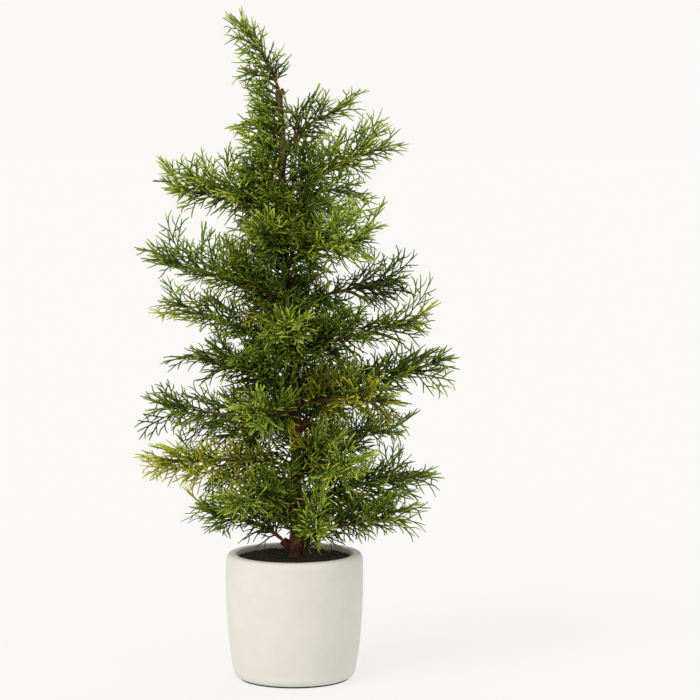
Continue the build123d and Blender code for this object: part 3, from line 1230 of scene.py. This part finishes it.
@dataclass
class Soil:
    """The soil: a rough bed with loose granules bonded all over it."""

    granules: int = 3600
    least_mm: float = 0.8
    most_mm: float = 1.6
    ring_count: int = 44
    bed_sides: int = 150
    edge_gap_mm: float = 0.3
    heap_mm: float = 1.2
    heap_radius_mm: float = 16.0

    def build(self, finish: Material) -> None:
        """Lay the bed, scatter the granules, and fix them to the root.

        Args:
            finish: The soil's material.
        """
        low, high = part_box("soil")
        radius = high.x - self.edge_gap_mm * MM
        chance = np.random.default_rng(SEED)
        heap = Heap()
        self.lay_bed(heap, radius, low.z, high.z)
        granule = model_granule()
        for _ in range(self.granules):
            away = radius * math.sqrt(chance.random()) * 0.985
            angle = chance.uniform(0, 2 * math.pi)
            size = chance.uniform(self.least_mm, self.most_mm) * MM
            spot = np.array([away * math.cos(angle), away * math.sin(angle), 0.0])
            spot[2] = self.height(spot[0], spot[1], high.z) + size * chance.uniform(-0.1, 0.5)
            turn = np.linalg.qr(chance.normal(size=(3, 3)))[0]
            if np.linalg.det(turn) < 0:
                turn[:, 0] = -turn[:, 0]
            points = granule.points @ turn.T * size + spot
            heap.add(granule, points, np.tile(chance.random(3), (len(points), 1)))
        piece = heap.as_object("bonded_soil", WOOD)
        dress(piece, finish)
        settle(piece, "root", "soil", "soil")
        log.info("soil: %d faces", len(piece.data.polygons))

    def height(self, x: float, y: float, top: float) -> float:
        """The bed's height at a point, a little heaped round the trunk."""
        away = math.hypot(x, y) / (self.heap_radius_mm * MM)
        swell = swelling((x, y, 0), ((14, 0.5),)) + swelling((x, y, 1), ((4, 0.3),))
        return top + (swell - 0.2 + self.heap_mm * math.exp(-(away**2))) * MM

    def lay_bed(self, heap: Heap, radius: float, low: float, top: float) -> None:
        """Add the bed: a closed disc with a rough upper face.

        Args:
            heap: Where it is added.
            radius: The bed's radius.
            low: The height of its underside.
            top: The height of its upper face.
        """
        rings = [(0.5 * MM, low), (radius, low)]
        rings += [(radius * k / self.ring_count, None) for k in range(self.ring_count, 0, -1)]
        points = []
        for away, level in rings:
            for j in range(self.bed_sides):
                angle = 2 * math.pi * j / self.bed_sides
                x, y = away * math.cos(angle), away * math.sin(angle)
                points.append((x, y, self.height(x, y, top) if level is None else level))
        faces = Branch.tube_faces(len(rings), self.bed_sides)
        heap.add(faces, np.array(points), np.full((len(points), 3), 0.3))


# ------------------------------------------------------------------ trunk
@dataclass
class Trunk:
    """The bark sleeves: each taken from its own node, closed to an even skin, and furrowed."""

    sleeves: tuple[str, ...] = ("trunk_foot", "trunk_lower", "trunk_upper", "trunk_top")
    voxel_mm: float = 0.55
    furrow_mm: float = 0.75
    furrow_share: float = 0.55
    fibre_mm: float = 2.6
    stretch: float = 0.2
    softening: int = 6

    def build(self, finish: Material) -> None:
        """Build every sleeve and fix it to the root.

        Args:
            finish: The bark's material.
        """
        for node in self.sleeves:
            piece = self.skin(node)
            self.furrow(piece)
            dress(piece, finish)
            settle(piece, "root", "bark", node)
            log.info("%s: %d faces", piece.name, len(piece.data.polygons))

    def skin(self, node: str) -> Object:
        """Copy a node, merge it and remesh it to small even faces.

        Args:
            node: The sleeve's node.

        Returns:
            The new object.
        """
        piece = add_piece(f"{node}_bark", frame["nodes"][node].data.copy())
        edit_all()
        bpy.ops.mesh.remove_doubles(threshold=0.01 * MM)
        bpy.ops.object.mode_set(mode="OBJECT")
        remesh = piece.modifiers.new("even_skin", "REMESH")
        remesh.mode = "VOXEL"
        remesh.voxel_size = self.voxel_mm * MM
        bpy.ops.object.modifier_apply(modifier=remesh.name)
        smooth = piece.modifiers.new("soften", "SMOOTH")
        smooth.iterations = self.softening
        smooth.factor = 0.5
        bpy.ops.object.modifier_apply(modifier=smooth.name)
        bpy.ops.object.shade_smooth()
        return piece

    def furrow(self, piece: Object) -> None:
        """Press furrows into the bark along its length.

        Args:
            piece: The sleeve's object.
        """
        mesh = piece.data
        normals = [v.normal.copy() for v in mesh.vertices]
        for vertex, normal in zip(mesh.vertices, normals):
            spot = Vector((vertex.co.x, vertex.co.y, vertex.co.z * self.stretch)) / (self.fibre_mm * MM)
            ridge = 1 - 2 * abs(noise.fractal(spot, 0.9, 2.0, 3))
            vertex.co += normal * ((ridge - self.furrow_share) * self.furrow_mm * MM)
        mesh.update()


@dataclass(frozen=True)
class Plume:
    """A group of sprigs plugged into one side of the trunk.

    Attributes:
        count: How many sprigs.
        levels: The lowest and the highest, in metres.
        bearing_deg: The side they leave from, in degrees from +X.
        spread_deg: How far to either side of that.
        rises_deg: The least and the most rise.
        lengths_mm: The least and the most length.
    """

    count: int
    levels: Range
    bearing_deg: float
    spread_deg: float
    rises_deg: Range
    lengths_mm: Range


@dataclass
class TrunkSprigs:
    """Sprigs plugged straight into the trunk, in a spiral up it and in plumes where it needs them.

    Low down its front is bare: no sprig leaves it where the sine of the bearing is under
    bare_front_sine. newness holds heights, and how new the sprigs are at each; together with the low
    fresh, it darkens the sprigs low down inside the tree as painted shade.
    """

    tray: SprigTray
    low: float = 0.168
    high: float = 0.425
    spacing_mm: float = 1.05
    spiral_deg: float = 137.5
    bare_front_below: float = 0.285
    bare_front_sine: float = -0.7
    rises_deg: Range = (-5, 50)
    lengths_mm: Range = (32, 56)
    yellow: float = 0.03
    # Painted shade: a low freshness keeps these sprigs inside the tree darker.
    fresh: float = 0.3
    newness_and_shade: Curve = ((0.25, 0.38, 0.48), (0.6, 1.0, 3.0))
    plumes: tuple[Plume, ...] = (
        Plume(18, (0.428, 0.470), 0, 180, (5, 50), (30, 46)),
        Plume(16, (0.470, 0.512), 180, 100, (5, 50), (34, 50)),
        Plume(18, (0.430, 0.490), 180, 34, (24, 50), (50, 56)),
        Plume(13, (0.490, 0.530), 180, 45, (15, 50), (30, 46)),
        Plume(14, (0.375, 0.42), 180, 45, (5, 45), (44, 56)),
        Plume(9, (0.385, 0.42), 0, 45, (0, 38), (42, 56)),
        Plume(46, (0.285, 0.445), 270, 55, (0, 55), (26, 42)),
    )

    def build(self, finish: Material) -> None:
        """Place the sprigs and fix them to the root.

        Args:
            finish: The foliage's material.
        """
        self.core = self.core_line()
        chance = np.random.default_rng(SEED + 77)
        work = SprigWork(self.tray, chance, self.yellow, self.fresh)
        count = round((self.high - self.low) / (self.spacing_mm * MM))
        for k in range(count):
            level = self.low + (self.high - self.low) * k / count
            bearing = math.radians(k * self.spiral_deg + chance.normal(0, 10))
            if level < self.bare_front_below and math.sin(bearing) < self.bare_front_sine:
                continue
            self.plug(work, level, bearing, self.rises_deg, self.lengths_mm)
        for plume in self.plumes:
            for level in np.linspace(*plume.levels, plume.count):
                bearing = plume.bearing_deg + chance.uniform(-plume.spread_deg, plume.spread_deg)
                self.plug(work, level, math.radians(bearing), plume.rises_deg, plume.lengths_mm)
        piece = work.heap.as_object("trunk_sprigs", LEAF)
        dress(piece, finish)
        settle(piece, "root", "foliage_green")
        log.info("trunk sprigs: %d faces", len(piece.data.polygons))

    @staticmethod
    def core_line() -> tuple[np.ndarray, np.ndarray]:
        """The core wire's heights, and its x at each of them."""
        co = vertices(frame["nodes"]["trunk_core"])
        levels = np.unique(co[:, 2].round(4))
        return levels, np.array([co[np.abs(co[:, 2] - level) < 0.1 * MM, 0].mean() for level in levels])

    def plug(
        self,
        work: SprigWork,
        level: float,
        bearing: float,
        rises_deg: Range,
        lengths_mm: Range,
    ) -> None:
        """Plug one sprig into the trunk.

        Args:
            work: Where it is added.
            level: Its height.
            bearing: Its bearing, in radians from +X.
            rises_deg: The least and the most angle above the level.
            lengths_mm: The least and the most length.
        """
        rise = math.radians(work.chance.uniform(*rises_deg))
        length = work.chance.uniform(*lengths_mm) * MM
        here = np.array((on_curve(level, self.core), 0.0, level))
        level_ahead = np.array((math.cos(bearing), math.sin(bearing), 0.0))
        ahead = level_ahead * math.cos(rise) + np.array((0.0, 0.0, math.sin(rise)))
        sideways = np.array((-math.sin(bearing), math.cos(bearing), 0.0))
        fan = turned(sideways, ahead, work.chance.normal(0, 0.6))
        work.place(here, ahead, fan, length, on_curve(level, self.newness_and_shade))


# ------------------------------------------------------------------ stage, light and camera
@dataclass(frozen=True)
class Studio:
    """A seamless pale floor under an even bright sky, soft light from the upper left, and a camera."""

    distance: float = 2.2
    eye_height: float = 0.4885
    aside: float = 0.0502
    tilt_deg: float = 4.965
    lens_mm: float = 126.5
    sky: float = 0.955
    floor_code: str = "#70706f"
    floor_glow: float = 0.735
    floor_size: float = 120.0
    paper_tooth_mm: float = 2.5

    def build(self) -> None:
        """Build the floor, the lights and the camera."""
        self.floor()
        self.sun("key", (-0.75, -0.8, 1.0), 1.5, 34.0, "#fffcf2")
        self.sun("back", (0.5, 0.9, 0.8), 0.5, 50.0, "#ffffff")
        world = bpy.data.worlds.new("pale_room")
        world.use_nodes = True
        world.node_tree.nodes["Background"].inputs["Color"].default_value = linear("#fffefc")
        world.node_tree.nodes["Background"].inputs["Strength"].default_value = self.sky
        bpy.context.scene.world = world
        bpy.context.scene.view_settings.view_transform = "Standard"
        self.camera()

    def floor(self) -> None:
        """A floor so wide that its far edge lies in line with the horizon."""
        deselect()
        bpy.ops.mesh.primitive_plane_add(size=self.floor_size, location=(0, 0, 0))
        piece = bpy.context.object
        piece.name = "floor"
        edit_all()
        bpy.ops.mesh.subdivide(number_cuts=9)
        bpy.ops.object.mode_set(mode="OBJECT")
        material, tree, surface, place = new_material("paper_sweep")
        tooth = add_noise(tree, place, self.paper_tooth_mm, Detail=3.0)
        finish_surface(tree, self.floor_code, tooth, strength=0.05, depth_mm=0.2)
        surface.inputs["Roughness"].default_value = 1.0
        surface.inputs["Specular IOR Level"].default_value = 0.0
        surface.inputs["Emission Color"].default_value = linear("#fffefc")
        surface.inputs["Emission Strength"].default_value = self.floor_glow
        dress(piece, material)
        piece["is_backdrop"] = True

    @staticmethod
    def sun(name: str, source: Sequence[float], strength: float, angle_deg: float, code: str) -> None:
        """Add a far soft light.

        Args:
            name: The light's name.
            source: The direction that it comes from.
            strength: Its strength.
            angle_deg: How wide it looks from the tree, which sets how soft its shadows are.
            code: Its colour.
        """
        data = bpy.data.lights.new(name, "SUN")
        data.energy = strength
        data.color = linear(code)[:3]
        data.angle = math.radians(angle_deg)
        lamp = bpy.data.objects.new(name, data)
        lamp.rotation_euler = Vector(source).to_track_quat("Z", "Y").to_euler()
        bpy.context.scene.collection.objects.link(lamp)

    def camera(self) -> None:
        """Add the camera and make it the scene's."""
        data = bpy.data.cameras.new("camera")
        data.lens = self.lens_mm
        data.sensor_width = 36.0
        data.clip_end = 50.0
        eye = bpy.data.objects.new("camera", data)
        eye.location = (self.aside, -self.distance, self.eye_height)
        eye.rotation_euler = (math.radians(90 - self.tilt_deg), 0, 0)
        bpy.context.scene.collection.objects.link(eye)
        bpy.context.scene.camera = eye


# ------------------------------------------------------------------ the whole tree
def corners() -> list[list[float]]:
    """The whole object's box as two plain lists."""
    return [list(map(float, corner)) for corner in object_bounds()]


def main() -> None:
    """Build the tree's sub-assemblies in order."""
    logging.basicConfig(level=logging.INFO, format="%(name)s: %(message)s")
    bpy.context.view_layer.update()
    Studio().build()
    Pot().build(CementFinish().build())
    Soil().build(SOIL.build())
    for node, finish in HIDDEN.items():
        dress(frame["nodes"][node], finish.build())
    Trunk().build(BarkFinish().build())
    tray = SprigTray.build(TwigKit.build())
    stem_finish, leaf_finish = StemFinish().build(), FoliageFinish().build()
    TrunkSprigs(tray).build(leaf_finish)
    for k, joint in enumerate(frame["joints"]):
        place = BranchFrame.read(joint)
        look = LOOKS.get(place.name, BranchLook())
        Branch(place, look, tray, SEED + 100 + k).build(stem_finish, leaf_finish)


if __name__ == "__main__":
    main()
